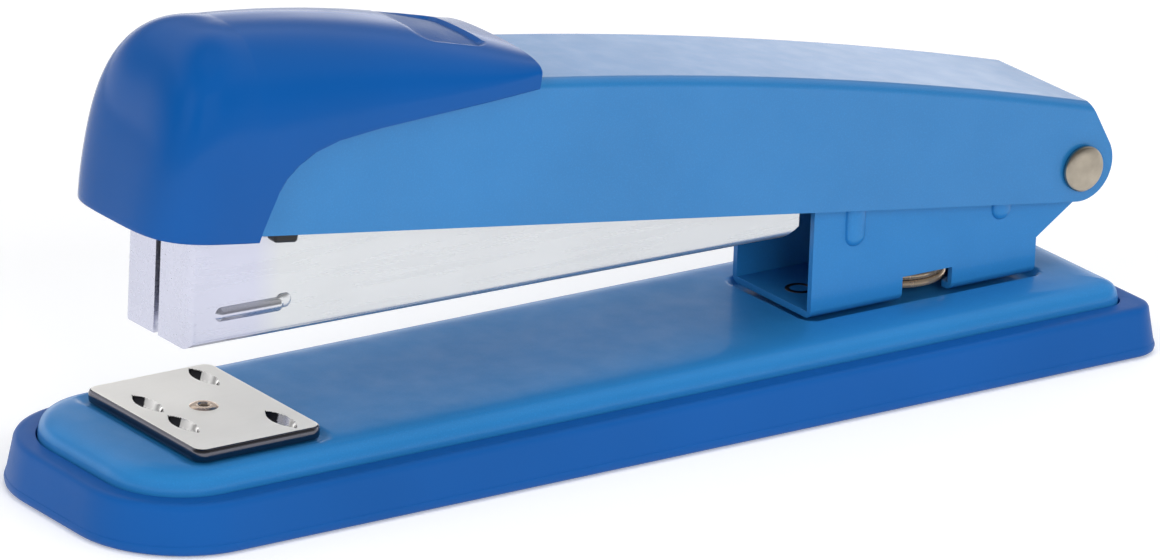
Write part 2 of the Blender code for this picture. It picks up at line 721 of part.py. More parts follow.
def make_cap():
    """Moulded plastic hood over the arm's front, cut back along the arm's side in a sweeping line."""
    cap = cap_form("head_cap", CAP_FRONT, (12.1, 12.6), (12.1, 13.3), 12.2, 0.0, CAP_REAR)
    half = CAP_CAVITY_HALF_WIDTH
    wall = 2.2
    inside = (CAP_FRONT - wall, (half, half), (half, half), 11.0, wall, CAP_REAR + wall)
    hollow = cap_form("cap_hollow", *inside, CUTTERS)
    hollow.location = (0, 0, -0.2 * MM)
    passage_outline = [(u, arm_top(u) + GAP) for u in (ARM_FRONT + 2, 125, 115, 105, 95, 85)]
    passage_outline += [(85, -20), (ARM_FRONT + 2, -20)]
    passage = prism("cap_passage", passage_outline, half, CUTTERS)
    sweep = [(134.6, -9.0), (134.3, -4.0), (133.8, -1.6), (132.9, 1.5), (131.9, 3.4), (130.3, 5.1)]
    sweep += [(127.9, 6.8), (124.4, 8.2), (118.1, 9.6), (85, 15.3), (85, -9)]
    side = prism("cap_side_sweep", sweep, 30, CUTTERS)
    cut(cap, hollow, passage, side)
    return finish(cap, "cap_blue", ARM_FRAME)


def make_lift_spring():
    """Flat spring hooked round the pin that holds the arm up off the magazine."""
    thick, inner = 0.6, PIN_RADIUS + GAP
    tip_u = 62.0
    tip_w = arm_top(tip_u) - SHEET - GAP
    hook = arc((0, 0), inner + thick, 100, 230, 10)
    back = arc((0, 0), inner, 230, 100, 10)
    outline = [(tip_u, tip_w), (tip_u - 8, tip_w - 0.2)] + hook + back
    outline += [(tip_u - 8, tip_w - 0.2 - thick), (tip_u, tip_w - thick)]
    return finish(prism("lift_spring", outline, 4.8), "spring_steel", ARM_FRAME, smooth=False)


def make_driver():
    """Blade that pushes a staple down behind the nose flanges, and the carrier that holds it in the arm."""
    blade_frame = bpy.data.objects.new("blade_frame", None)
    PARTS.objects.link(blade_frame)
    middle = MAGAZINE_NOSE - MAGAZINE_SHEET - EXIT_SLOT / 2
    low, high = 6.6, 26.0
    blade_frame.location = (PIVOT_X * MM, 0, PIVOT_Z * MM)
    blade_frame.rotation_euler = (0, MAGAZINE_PITCH + math.radians(1.6), 0)
    lean = 0.2
    blade = box("driver_blade", (-middle - 0.3 + lean, -6.0, low), (-middle + 0.3 + lean, 6.0, high - 6.0))
    finish(blade, "nickel", blade_frame, smooth=False)
    return blade


def make_stop():
    """Black moulded carrier in the arm's front: it backs the driver blade and stops the stroke."""
    u = 128.6
    outline = [(u - 2, -6.1), (u + 1.6, -6.1), (u + 2.0, -2.0), (u + 2.0, 12.0), (u - 2, 12.0)]
    stop = prism("driver_carrier", outline, 10.0)
    bevel(stop, 0.3, 1)
    slot = box("carrier_slot", (-u - 6, -8.2, -12), (-u + 6, 8.2, 9.0), CUTTERS)
    cut(stop, slot)
    return finish(stop, "black_plastic", ARM_FRAME)


make_shoe()
make_base_plate()
make_anvil()
make_bracket()
make_pin()
make_return_spring()
make_magazine()
make_rail()
make_pusher()
make_rail_pin()
make_arm()
make_cap()
make_lift_spring()
make_driver()
make_stop()
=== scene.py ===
"""The looks of the metal desk stapler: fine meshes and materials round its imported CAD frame.

Lengths are millimetres in the modelling functions and metres in the scene. The magazine and the arm are
modelled level in a frame on the hinge pin, with u forward from the pin and w up, and then pitched.
"""

import json
import math

import bmesh
import bpy
from mathutils import Matrix, Vector


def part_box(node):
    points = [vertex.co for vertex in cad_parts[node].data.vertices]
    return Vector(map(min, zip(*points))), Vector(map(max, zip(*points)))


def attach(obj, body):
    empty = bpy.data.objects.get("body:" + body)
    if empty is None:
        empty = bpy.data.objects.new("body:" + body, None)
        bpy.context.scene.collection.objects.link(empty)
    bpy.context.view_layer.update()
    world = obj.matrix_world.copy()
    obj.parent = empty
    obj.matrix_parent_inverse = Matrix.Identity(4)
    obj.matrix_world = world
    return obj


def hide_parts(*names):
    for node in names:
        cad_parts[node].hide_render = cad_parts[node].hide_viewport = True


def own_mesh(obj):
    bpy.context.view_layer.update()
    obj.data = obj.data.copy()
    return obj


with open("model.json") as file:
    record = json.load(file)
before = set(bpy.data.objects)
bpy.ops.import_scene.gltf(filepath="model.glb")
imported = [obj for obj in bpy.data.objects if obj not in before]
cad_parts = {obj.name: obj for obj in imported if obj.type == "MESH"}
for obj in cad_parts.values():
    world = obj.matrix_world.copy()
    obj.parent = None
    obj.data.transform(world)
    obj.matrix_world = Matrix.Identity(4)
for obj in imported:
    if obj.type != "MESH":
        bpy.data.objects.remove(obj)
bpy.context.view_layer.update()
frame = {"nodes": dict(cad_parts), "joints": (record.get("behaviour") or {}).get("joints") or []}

MM = 0.001
GAP = 0.3
FINE = 0.12  # rounding of a sheet's cut edges
SHEET = 0.9
PIN_RADIUS = 2.5
BORE_RADIUS = 2.8  # of the holes that the hinge pin passes through


def joint(name):
    return next(j for j in frame["joints"] if j["name"] == name)


PIVOT = Vector(joint("magazine_press")["pos_m"])
PIVOT_MM = PIVOT / MM
ARM_PITCH = math.radians(7.67)
MAGAZINE_PITCH = math.radians(0.74)
FLAT = Matrix.Scale(MM, 4)


def pivot_frame(pitch):
    """Turns a frame's millimetres into the scene's metres."""
    return Matrix.Translation(PIVOT) @ Matrix.Rotation(pitch, 4, "Y") @ FLAT


ARM = pivot_frame(ARM_PITCH)
MAGAZINE = pivot_frame(MAGAZINE_PITCH)
BRACKET = pivot_frame(0.0)


def node_size(name):
    """A CAD node's box in millimetres: lowest corner, highest corner and middle."""
    low, high = (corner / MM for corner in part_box(name))
    return low, high, (low + high) / 2


# ---------------------------------------------------------------- mesh tools


def make_object(bm, name, matrix):
    """An object from a bmesh in millimetres, put in the scene's frame."""
    bmesh.ops.recalc_face_normals(bm, faces=bm.faces)
    bm.transform(matrix)
    mesh = bpy.data.meshes.new(name)
    bm.to_mesh(mesh)
    bm.free()
    obj = bpy.data.objects.new(name, mesh)
    bpy.context.scene.collection.objects.link(obj)
    return obj


def shade(obj, angle=32):
    obj.data.shade_smooth()
    obj.data.set_sharp_from_angle(angle=math.radians(angle))
    normals = obj.modifiers.new("normals", "WEIGHTED_NORMAL")
    normals.keep_sharp = True
    return obj


def settle(obj, angle=32):
    """Applies the modifiers and removes their cutters, then shades the result."""
    bpy.context.view_layer.update()
    graph = bpy.context.evaluated_depsgraph_get()
    mesh = bpy.data.meshes.new_from_object(obj.evaluated_get(graph))
    cutters = [m.object for m in obj.modifiers if m.type == "BOOLEAN"]
    obj.modifiers.clear()
    obj.data = mesh
    for cutter in cutters:
        bpy.data.objects.remove(cutter)
    return shade(obj, angle)


def cut(obj, *cutters, operation="DIFFERENCE"):
    for cutter in cutters:
        made = obj.modifiers.new(cutter.name, "BOOLEAN")
        made.object = cutter
        made.operation = operation
    return obj


def bevel(obj, width, segments=2, angle=40, weights=False):
    made = obj.modifiers.new("bevel", "BEVEL")
    made.width = width * MM
    made.segments = segments
    made.limit_method = "WEIGHT" if weights else "ANGLE"
    made.angle_limit = math.radians(angle)
    return obj


def weigh_edges(bm, chosen):
    """Marks for bevelling the edges whose two ends, in millimetres, pass the test."""
    layer = bm.edges.layers.float.new("bevel_weight_edge")
    for edge in bm.edges:
        edge[layer] = 1.0 if chosen(edge.verts[0].co, edge.verts[1].co) else 0.0


def arc(centre, radius, start, end, steps):
    """Points of an arc in a plane, its angles in degrees."""
    points = []
    for i in range(steps + 1):
        a = math.radians(start + (end - start) * i / steps)
        points.append((centre[0] + radius * math.cos(a), centre[1] + radius * math.sin(a)))
    return points


def prism(name, outline, half_width, matrix, chosen=None):
    """A flat outline of (u, w) points extruded to both sides of the centre plane."""
    bm = bmesh.new()
    face = bm.faces.new([bm.verts.new((-u, -half_width, w)) for u, w in outline])
    extruded = bmesh.ops.extrude_face_region(bm, geom=[face])
    moved = [v for v in extruded["geom"] if isinstance(v, bmesh.types.BMVert)]
    bmesh.ops.translate(bm, vec=(0, 2 * half_width, 0), verts=moved)
    if chosen:
        weigh_edges(bm, chosen)
    return make_object(bm, name, matrix)


def box(name, low, high, matrix):
    bm = bmesh.new()
    low, high = Vector(low), Vector(high)
    place = Matrix.Translation((low + high) / 2) @ Matrix.Diagonal((*(high - low), 1))
    bmesh.ops.create_cube(bm, size=1, matrix=place)
    return make_object(bm, name, matrix)


def lathe(name, profile, place, axis="Z", steps=48, matrix=FLAT):
    """A turned shape from (radius, height) points, closed where it meets the axis."""
    bm = bmesh.new()
    points = [bm.verts.new((r, 0, h)) for r, h in profile]
    edges = [bm.edges.new(pair) for pair in zip(points, points[1:])]
    turn = {"geom": points + edges, "cent": (0, 0, 0), "axis": (0, 0, 1)}
    bmesh.ops.spin(bm, **turn, angle=2 * math.pi, steps=steps, use_merge=True)
    bmesh.ops.remove_doubles(bm, verts=bm.verts, dist=1e-4)
    if axis == "Y":
        bm.transform(Matrix.Rotation(math.pi / 2, 4, "X"))
    bm.transform(Matrix.Translation(place))
    return make_object(bm, name, matrix)


def pin_bore(name, matrix):
    """A cutter for the hinge pin's hole, at the pivot frame's origin."""
    reach = 20
    profile = [(0, reach), (BORE_RADIUS, reach), (BORE_RADIUS, -reach), (0, -reach)]
    return lathe(name, profile, (0, 0, 0), "Y", matrix=matrix)


def bead(name, start, end, y, radius, height, matrix, sharp=False):
    """A round-ended rib raised from a wall at y, between two (u, w) points, round or roof-shaped."""
    (u0, w0), (u1, w1) = start, end
    length = math.hypot(u1 - u0, w1 - w0)
    bm = bmesh.new()
    bmesh.ops.create_uvsphere(bm, u_segments=28, v_segments=20, radius=1)
    for vert in bm.verts:
        rise = vert.co.y
        if sharp:
            rise = math.copysign(1 - min(math.hypot(vert.co.x, vert.co.z), 1) ** 1.5, vert.co.y)
        vert.co = Vector((vert.co.x * radius, rise * height, vert.co.z * radius))
        if abs(vert.co.z) > 1e-3:
            vert.co.z += math.copysign(length / 2, vert.co.z)
    lean = Matrix.Rotation(math.atan2(u0 - u1, w1 - w0), 4, "Y")
    bm.transform(Matrix.Translation((-(u0 + u1) / 2, y, (w0 + w1) / 2)) @ lean)
    return make_object(bm, name, matrix)


def coil(name, radius, wire, heights, place, points_per_turn=40, axis="Z", matrix=FLAT):
    """A mesh tube along a coil, its height at each whole turn given, with closed ends."""
    turns = len(heights) - 1
    count = turns * points_per_turn
    sides = 14
    up = Vector((0, 0, 1))
    bm = bmesh.new()
    rings = []
    for i in range(count + 1):
        turn = i / points_per_turn
        whole = min(int(turn), turns - 1)
        z = heights[whole] + (turn - whole) * (heights[whole + 1] - heights[whole])
        a = 2 * math.pi * turn
        out = Vector((math.cos(a), math.sin(a), 0))
        middle = out * radius + up * z
        ring = []
        for k in range(sides):
            b = 2 * math.pi * k / sides
            ring.append(bm.verts.new(middle + wire / 2 * (out * math.cos(b) + up * math.sin(b))))
        rings.append(ring)
    for a, b in zip(rings, rings[1:]):
        for k in range(sides):
            bm.faces.new((a[k], a[(k + 1) % sides], b[(k + 1) % sides], b[k]))
    bm.faces.new(rings[0])
    bm.faces.new(rings[-1])
    if axis == "X":
        bm.transform(Matrix.Rotation(math.pi / 2, 4, "Y"))
    bm.transform(Matrix.Translation(place))
    return make_object(bm, name, matrix)


def smooth_step(x, low, high):
    t = min(max((x - low) / (high - low), 0.0), 1.0)
    return t * t * (3 - 2 * t)


def curve_at(points, x):
    """The height at x of a line drawn through (x, height) points."""
    if x <= points[0][0]:
        return points[0][1]
    for (x0, y0), (x1, y1) in zip(points, points[1:]):
        if x <= x1:
            return y0 + (y1 - y0) * (x - x0) / (x1 - x0)
    return points[-1][1]


def outline_ring(half_x, half_y, front_radius, rear_radius, inset=0.0, middle=0.0, corner=12, step=4.0):
    """A rounded rectangle moved in by inset: from the rear's middle round +Y to the front, and back.

    It has the same number of points for every inset, so rings join into a surface.
    """
    rear = max(rear_radius - inset, 0.05)
    front = max(front_radius - inset, 0.05)
    hx, hy = half_x - inset, half_y - inset
    across = max(int(half_y / step), 1)
    along = max(int(2 * half_x / step), 1)
    half = [(hx, (hy - rear) * i / across) for i in range(across)]
    half += arc((hx - rear, hy - rear), rear, 0, 90, corner)
    straight = (hx - rear) + (hx - front)
    half += [(hx - rear - straight * i / along, hy) for i in range(1, along)]
    half += arc((front - hx, hy - front), front, 90, 180, corner)
    half += [(-hx, (hy - front) * (1 - i / across)) for i in range(1, across + 1)]
    half = [(x + middle, y) for x, y in half]
    return half + [(x, -y) for x, y in reversed(half[1:-1])]


def ring_surface(name, rings, closed=False):
    """A surface through rings of 3-D points, its first and last ring filled across, or joined if closed."""
    bm = bmesh.new()
    loops = [[bm.verts.new(p) for p in ring] for ring in rings]
    count = len(loops[0])
    pairs = list(zip(loops, loops[1:] + loops[:1] if closed else loops[1:]))
    for a, b in pairs:
        for i in range(count):
            bm.faces.new((a[i], a[(i + 1) % count], b[(i + 1) % count], b[i]))
    if not closed:
        for loop in (loops[0], loops[-1]):
            for i in range(count // 2):
                corners = [loop[i], loop[i + 1], loop[(count - i - 1) % count], loop[(count - i) % count]]
                bm.faces.new(list(dict.fromkeys(corners)))
    return make_object(bm, name, FLAT)


# ---------------------------------------------------------------- materials


class Shader:
    """A Principled material and short calls for the nodes behind it."""

    def __init__(self, name):
        self.material = bpy.data.materials.new(name)
        self.material.use_nodes = True
        self.tree = self.material.node_tree
        self.surface = self.tree.nodes["Principled BSDF"]
        self.place = self.tree.nodes.new("ShaderNodeTexCoord").outputs["Object"]

    def set(self, **values):
        for name, value in values.items():
            self.surface.inputs[name.replace("_", " ")].default_value = value
        return self

    def stretched(self, scale):
        """Object coordinates in metres, scaled on each axis."""
        node = self.tree.nodes.new("ShaderNodeMapping")
        node.inputs["Scale"].default_value = scale
        self.tree.links.new(self.place, node.inputs["Vector"])
        return node.outputs["Vector"]

    def noise(self, scale, detail=3.0, stretch=(1, 1, 1), roughness=0.5):
        node = self.tree.nodes.new("ShaderNodeTexNoise")
        node.inputs["Scale"].default_value = scale
        node.inputs["Detail"].default_value = detail
        node.inputs["Roughness"].default_value = roughness
        self.tree.links.new(self.stretched(stretch), node.inputs["Vector"])
        return node.outputs["Fac"]

    def ramp(self, factor, low, high, start=0.3, end=0.7):
        """A number or colour from low to high as the factor goes from start to end."""
        node = self.tree.nodes.new("ShaderNodeMapRange" if isinstance(low, float) else "ShaderNodeValToRGB")
        if isinstance(low, float):
            node.inputs["From Min"].default_value = start
            node.inputs["From Max"].default_value = end
            node.inputs["To Min"].default_value = low
            node.inputs["To Max"].default_value = high
            self.tree.links.new(factor, node.inputs["Value"])
            return node.outputs["Result"]
        node.color_ramp.elements[0].position = start
        node.color_ramp.elements[1].position = end
        node.color_ramp.elements[0].color = (*low, 1)
        node.color_ramp.elements[1].color = (*high, 1)
        self.tree.links.new(factor, node.inputs["Fac"])
        return node.outputs["Color"]

    def mix(self, factor, a, b):
        """Colour a blended to colour b by the factor."""
        node = self.tree.nodes.new("ShaderNodeMix")
        node.data_type = "RGBA"
        self.tree.links.new(factor, node.inputs["Factor"])
        for socket, value in ((node.inputs[6], a), (node.inputs[7], b)):
            if isinstance(value, tuple):
                socket.default_value = (*value, 1)
            else:
                self.tree.links.new(value, socket)
        return node.outputs[2]

    def feed(self, name, output):
        self.tree.links.new(output, self.surface.inputs[name])
        return self

    def bump(self, height, depth_mm):
        node = self.tree.nodes.new("ShaderNodeBump")
        node.inputs["Strength"].default_value = 1.0
        node.inputs["Distance"].default_value = depth_mm * MM
        self.tree.links.new(height, node.inputs["Height"])
        previous = self.surface.inputs["Normal"].links
        if previous:
            self.tree.links.new(previous[0].from_socket, node.inputs["Normal"])
        self.tree.links.new(node.outputs["Normal"], self.surface.inputs["Normal"])
        return self


def shaded(colour, share):
    return tuple(c * share for c in colour)


def moulded(name, colour, roughness, specular, grain):
    """Moulded plastic: faint flow variation, a fine grain and uneven gloss."""
    s = Shader(name).set(Specular_IOR_Level=specular)
    s.feed("Base Color", s.ramp(s.noise(28, 2), shaded(colour, 0.94), shaded(colour, 1.06)))
    s.feed("Roughness", s.ramp(s.noise(160, 4), roughness * 0.85, roughness * 1.2))
    s.bump(s.noise(2600, 2), grain)
    return s.material


def lacquer(name, colour, coat, roughness=0.5, metallic=0.2):
    """Metallic lacquer on sheet steel: fine flakes, slight orange peel and a clear coat."""
    s = Shader(name).set(Metallic=metallic, Specular_IOR_Level=0.2, Coat_Weight=coat, Coat_Roughness=0.14)
    flakes = s.noise(5200, 2, roughness=0.7)
    tone = s.ramp(s.noise(34, 3), shaded(colour, 0.95), shaded(colour, 1.05))
    s.feed("Base Color", s.mix(s.ramp(flakes, 0.0, 0.35, 0.5, 0.75), tone, shaded(colour, 1.35)))
    s.feed("Roughness", s.ramp(s.noise(240, 4), roughness * 0.85, roughness * 1.15))
    s.bump(s.noise(900, 2), 0.002)
    return s.material


def plated(name, colour, roughness, scale, depth, lines=(1, 1, 1), metallic=1.0):
    """Plated metal: patchy brightness and a fine grain, drawn out along any axis that lines scales down."""
    s = Shader(name).set(Metallic=metallic)
    s.feed("Base Color", s.ramp(s.noise(60, 4), shaded(colour, 0.94), shaded(colour, 1.04)))
    s.feed("Roughness", s.ramp(s.noise(scale, 3, lines), roughness * 0.7, roughness * 1.3))
    s.bump(s.noise(scale, 3, lines), depth)
    return s.material


def zinc_sheet():
    """Zinc plate with rolling lines along it, and a faint lilac reflection painted into its colour towards
    the nose.
    """
    s = Shader("zinc_sheet").set(Metallic=0.85)
    bright = s.ramp(s.noise(60, 4), shaded(ZINC, 0.96), shaded(ZINC, 1.03))
    reflection_tinted = s.ramp(s.noise(60, 4), shaded(PAINTED_LILAC_REFLECTION, 0.96), shaded(PAINTED_LILAC_REFLECTION, 1.03))
    split = s.tree.nodes.new("ShaderNodeSeparateXYZ")
    s.tree.links.new(s.place, split.inputs["Vector"])
    # In front of x = -55 mm the colour turns lilac: a painted reflection.
    s.feed("Base Color", s.mix(s.ramp(split.outputs["X"], 1.0, 0.0, -0.057, -0.053), bright, reflection_tinted))
    s.feed("Roughness", s.ramp(s.noise(1100, 3, (0.05, 1, 1)), 0.2, 0.32))
    s.bump(s.noise(1100, 3, (0.05, 1, 1)), 0.001)
    return s.material


CAP_BLUE = (0.0035, 0.079, 0.305)
SHOE_BLUE = (0.006, 0.087, 0.325)
PAINT_BLUE = (0.020, 0.186, 0.462)
ZINC = (0.66, 0.675, 0.69)
# Lilac painted into the magazine's nose: a painted reflection, not the metal's own colour.
PAINTED_LILAC_REFLECTION = (0.60, 0.61, 0.72)

MATERIALS = {
    "cap": moulded("cap_plastic", CAP_BLUE, 0.17, 0.16, 0.002),
    "grip": moulded("cap_grip_texture", shaded(CAP_BLUE, 0.85), 0.42, 0.3, 0.05),
    "shoe": moulded("shoe_plastic", SHOE_BLUE, 0.4, 0.14, 0.006),
    "black": moulded("black_plastic", (0.012, 0.011, 0.011), 0.4, 0.4, 0.004),
    "paint": lacquer("arm_lacquer", PAINT_BLUE, 0.6),
    # The lid's and the bracket's lacquer is the arm's blue made 13% brighter: painted light, a lit copy of
    # the same paint.
    "base_paint_lit_brighter": lacquer("base_lacquer_lit_brighter", shaded(PAINT_BLUE, 1.13), 0.32),
    "zinc": zinc_sheet(),
    "satin": plated("satin_nickel", (0.93, 0.91, 0.86), 0.4, 1500, 0.002, (0.15, 1, 1), 0.35),
    "polished": plated("polished_nickel", (0.72, 0.71, 0.69), 0.12, 700, 0.001),
    # Near-black nickel for the anvil's sides: painted shade and a painted dark reflection.
    "painted_dark_edge": plated("anvil_edge_painted_dark", (0.13, 0.13, 0.15), 0.14, 700, 0.001),
    # Near-black finish for one end of each clinch groove: a painted dark reflection.
    "groove": plated("groove_painted_dark_reflection", (0.03, 0.03, 0.035), 0.16, 700, 0.001),
    "oxide": plated("dark_eyelet", (0.10, 0.075, 0.05), 0.35, 900, 0.002),
    "brass": plated("brass_rivet", (0.62, 0.50, 0.40), 0.22, 900, 0.001),
    "steel": plated("steel_wire", (0.56, 0.55, 0.53), 0.3, 1200, 0.002),
    "spring": plated("oiled_spring_wire", (0.66, 0.50, 0.34), 0.24, 1600, 0.002, metallic=0.6),
}


def turned_metal(name, colour):
    """Nickel turned on a lathe: fine rings round the pin's axis and a stretched highlight."""
    s = Shader(name).set(Metallic=1.0, Anisotropic=0.75, Roughness=0.3)
    tangent = s.tree.nodes.new("ShaderNodeTangent")
    tangent.direction_type = "RADIAL"
    tangent.axis = "Y"
    s.tree.links.new(tangent.outputs["Tangent"], s.surface.inputs["Tangent"])
    s.feed("Base Color", s.ramp(s.noise(500, 3), shaded(colour, 0.85), shaded(colour, 1.05)))
    return s.material


MATERIALS["turned"] = turned_metal("turned_nickel", (0.43, 0.38, 0.31))


def piece(obj, body, material, *nodes):
    """Gives a finished piece its material and body, and has it stand for its CAD nodes."""
    obj.data.materials.clear()
    obj.data.materials.append(MATERIALS[material])
    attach(obj, body)
    if nodes:
        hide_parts(*nodes)
    return obj


# ---------------------------------------------------------------- base

SHOE = node_size("base_shoe")[1]
SHOE_FRONT_CORNER, SHOE_REAR_CORNER = 15.0, 4.5
plate_low, PLATE, _ = node_size("base_plate")
PLATE_TOP, PLATE_FOOT = PLATE.z, plate_low.z
PLATE_CORNER = SHOE_FRONT_CORNER - (SHOE.y - PLATE.y)
anvil_low, anvil_high, ANVIL = node_size("anvil_plate")
ANVIL_HALF = (anvil_high.x - anvil_low.x) / 2
bracket_low, _, _ = node_size("hanger_bracket")
BRACKET_HALF = 8.9
BRACKET_FOOT = PLATE_TOP - 0.2
BUTTON_HOLE = 8.6


def shoe_ring(inset, z, step=6.0, corner=20):
    rear = max(SHOE_REAR_CORNER - inset, 3.0) + inset
    plan = outline_ring(SHOE.x, SHOE.y, SHOE_FRONT_CORNER, rear, inset, 0.0, corner, step)
    return [(x, y, z) for x, y in plan]


def make_shoe():
    """Moulded shoe with a drafted skirt, a parting line, a ledge and the well that the lid drops into."""
    top = SHOE.z
    section = [(1.0, 0.0), (0.45, 0.08), (0.12, 0.35), (0.0, 0.9)]
    section += [(0.13, 1.35), (0.19, 1.38), (0.23, 1.46)]
    section += [(1.0, top - 1.1), (1.08, top - 0.6), (1.3, top - 0.22), (1.65, top - 0.04), (2.1, top)]
    section += [(3.85, top), (4.0, top - 0.05), (4.08, top - 0.25), (4.08, PLATE_FOOT - GAP)]
    section += [(6.0, PLATE_FOOT - GAP), (6.0, 1.8)]
    shoe = ring_surface("shoe", [shoe_ring(inset, z) for inset, z in section])
    hole = [(0, 9), (BUTTON_HOLE, 9), (BUTTON_HOLE, -2), (0, -2)]
    cut(shoe, lathe("button_hole", hole, (ANVIL.x, 0, 0)))
    return piece(settle(shoe, 40), "base", "shoe", "base_shoe")


# How far the lid's surface lies below its flat top, by the distance in from its foot
SHOULDER = [
    (0.0, PLATE_TOP - PLATE_FOOT), (0.1, 2.6), (0.25, 1.95), (0.5, 1.42), (0.8, 1.05), (1.2, 0.74),
    (1.7, 0.48), (2.3, 0.29), (3.0, 0.16), (3.8, 0.07), (4.7, 0.02), (5.6, 0.0),
]  # fmt: skip

# The lid's pockets for the anvil and the bracket: middle x, half length, half width, depth, softness
POCKETS = [
    (ANVIL.x, ANVIL_HALF + 0.95, anvil_high.y + 0.85, 0.62, 0.3),
    (50.15, 19.7, BRACKET_HALF + 0.95, 1.25, 0.35),
]
POCKET_CORNER = 2.2


def rounded_distance(x, y, middle_x, half_x, half_y, radius):
    """Signed distance from a rounded rectangle about (middle_x, 0), negative inside."""
    dx = abs(x - middle_x) - half_x + radius
    dy = abs(y) - half_y + radius
    return math.hypot(max(dx, 0), max(dy, 0)) + min(max(dx, dy), 0) - radius


def lid_height(x, y, inset):
    """The lid's height: soft shoulders, and the two pockets pressed in for the anvil and the bracket."""
    z = PLATE_TOP - curve_at(SHOULDER, inset)
    for middle, half_x, half_y, depth, soft in POCKETS:
        d = rounded_distance(x, y, middle, half_x, half_y, POCKET_CORNER)
        inside = 1 - smooth_step(d, -soft, soft)
        floor = PLATE_TOP - depth
        if z > floor:
            z += (floor - z) * inside
    return z


def lid_outline(inset):
    return outline_ring(PLATE.x, PLATE.y, PLATE_CORNER, 3.0, inset, 0.0, 16, 0.4)


def make_lid():
    """Painted steel lid with soft shoulders and two shallow pockets, bored for the anvil's rivet."""
    insets = [x for x, _ in SHOULDER]
    while insets[-1] < PLATE.y - 0.7:
        insets.append(insets[-1] + 0.3)
    rings = [[(x, y, PLATE_FOOT) for x, y in lid_outline(1.2)]]
    rings.append([(x, y, PLATE_FOOT) for x, y in lid_outline(0.0)])
    for inset in insets[1:]:
        rings.append([(x, y, lid_height(x, y, inset)) for x, y in lid_outline(inset)])
    lid = ring_surface("lid", rings)
    under = PLATE_TOP - 1.15
    well = [(0, 14), (2.1, 14), (2.1, under), (BUTTON_HOLE, under), (BUTTON_HOLE, -1), (0, -1)]
    cut(lid, lathe("rivet_hole", well, (ANVIL.x, 0, 0)))
    return piece(settle(lid, 50), "base", "base_paint_lit_brighter", "base_plate")


# Middles of the clinch grooves, from the anvil's middle: along x and along y
GROOVES = [(-5.9, 4.3), (-5.9, -4.3), (5.9, 9.1), (5.9, -9.1)]
GROOVE_HALF_WIDTH, GROOVE_HALF_LENGTH, GROOVE_DEPTH = 1.35, 3.7, 0.85


def groove_at(x, y):
    """How deep a groove is at a place, from 0 to 1, and which finish it has there.

    Each groove is pointed at both ends, with two flanks that meet in a slanting valley. Its +Y end gets a
    near-black finish: a painted dark reflection.
    """
    for dx, dy in GROOVES:
        across = (x - ANVIL.x - dx) / GROOVE_HALF_WIDTH
        along = (y - dy) / GROOVE_HALF_LENGTH
        half = 1 - along * along
        if abs(along) < 1 and abs(across) < half:
            valley = half * (0.25 - 0.6 * along)
            front = (across + half) / (valley + half)
            rear = (half - across) / (half - valley)
            # The +Y end of a groove takes the near-black finish: a painted dark reflection.
            return half**0.4 * min(front, rear), "groove" if along > 0.25 + 0.4 * across else "polished"
    return 0.0, "satin"


ANVIL_FOOT = PLATE_TOP - 0.4
ANVIL_CORNER = 1.7


def anvil_ring(inset):
    return outline_ring(ANVIL_HALF, anvil_high.y, ANVIL_CORNER, ANVIL_CORNER, inset, ANVIL.x, 8, 0.16)


def make_anvil():
    """Bright plate with a rolled edge and four grooves, and the tubular rivet it turns on."""
    top = anvil_high.z
    edge = [(0.5, ANVIL_FOOT), (0.1, ANVIL_FOOT + 0.1), (0.0, ANVIL_FOOT + 0.4), (0.0, top - 0.7)]
    edge += [(0.04, top - 0.42), (0.15, top - 0.2), (0.32, top - 0.07), (0.55, top)]
    rings = [[(x, y, z) for x, y in anvil_ring(inset)] for inset, z in edge]
    inset = 0.7
    while inset < ANVIL_HALF - 0.1:
        rings.append([(x, y, top - GROOVE_DEPTH * groove_at(x, y)[0]) for x, y in anvil_ring(inset)])
        inset += 0.15
    plate = ring_surface("anvil_top", rings)
    bore = lathe("anvil_bore", [(0, 14), (1.3, 14), (1.3, 8), (0, 8)], (ANVIL.x, 0, 0))
    cut(plate, bore)
    piece(settle(plate, 24), "anvil", "satin", "anvil_plate")
    finishes = ["satin", "polished", "groove", "painted_dark_edge"]
    for finish in finishes[1:]:
        plate.data.materials.append(MATERIALS[finish])
    for face in plate.data.polygons:
        x, y, z = face.center / MM
        finish = groove_at(x, y)[1]
        # Faces below the anvil's top get the near-black finish: painted shade and a painted dark reflection
        # on its sides.
        if finish == "satin" and z < top - 0.1:
            finish = "painted_dark_edge"
        face.material_index = finishes.index(finish)

    low, _, middle = node_size("anvil_rivet")
    flange = [(0, top - 0.6), (0.5, top - 0.6), (0.66, top - 0.1), (0.82, top + 0.18), (1.05, top + 0.26)]
    flange += [(1.4, top + 0.24), (1.7, top + 0.16), (1.92, top + 0.02), (1.92, top - 0.02)]
    flange += [(1.2, top - 0.02), (1.2, low.z), (0, low.z)]
    rivet = lathe("anvil_tube_rivet", flange, (middle.x, 0, 0))
    piece(shade(rivet, 45), "anvil", "brass", "anvil_rivet")


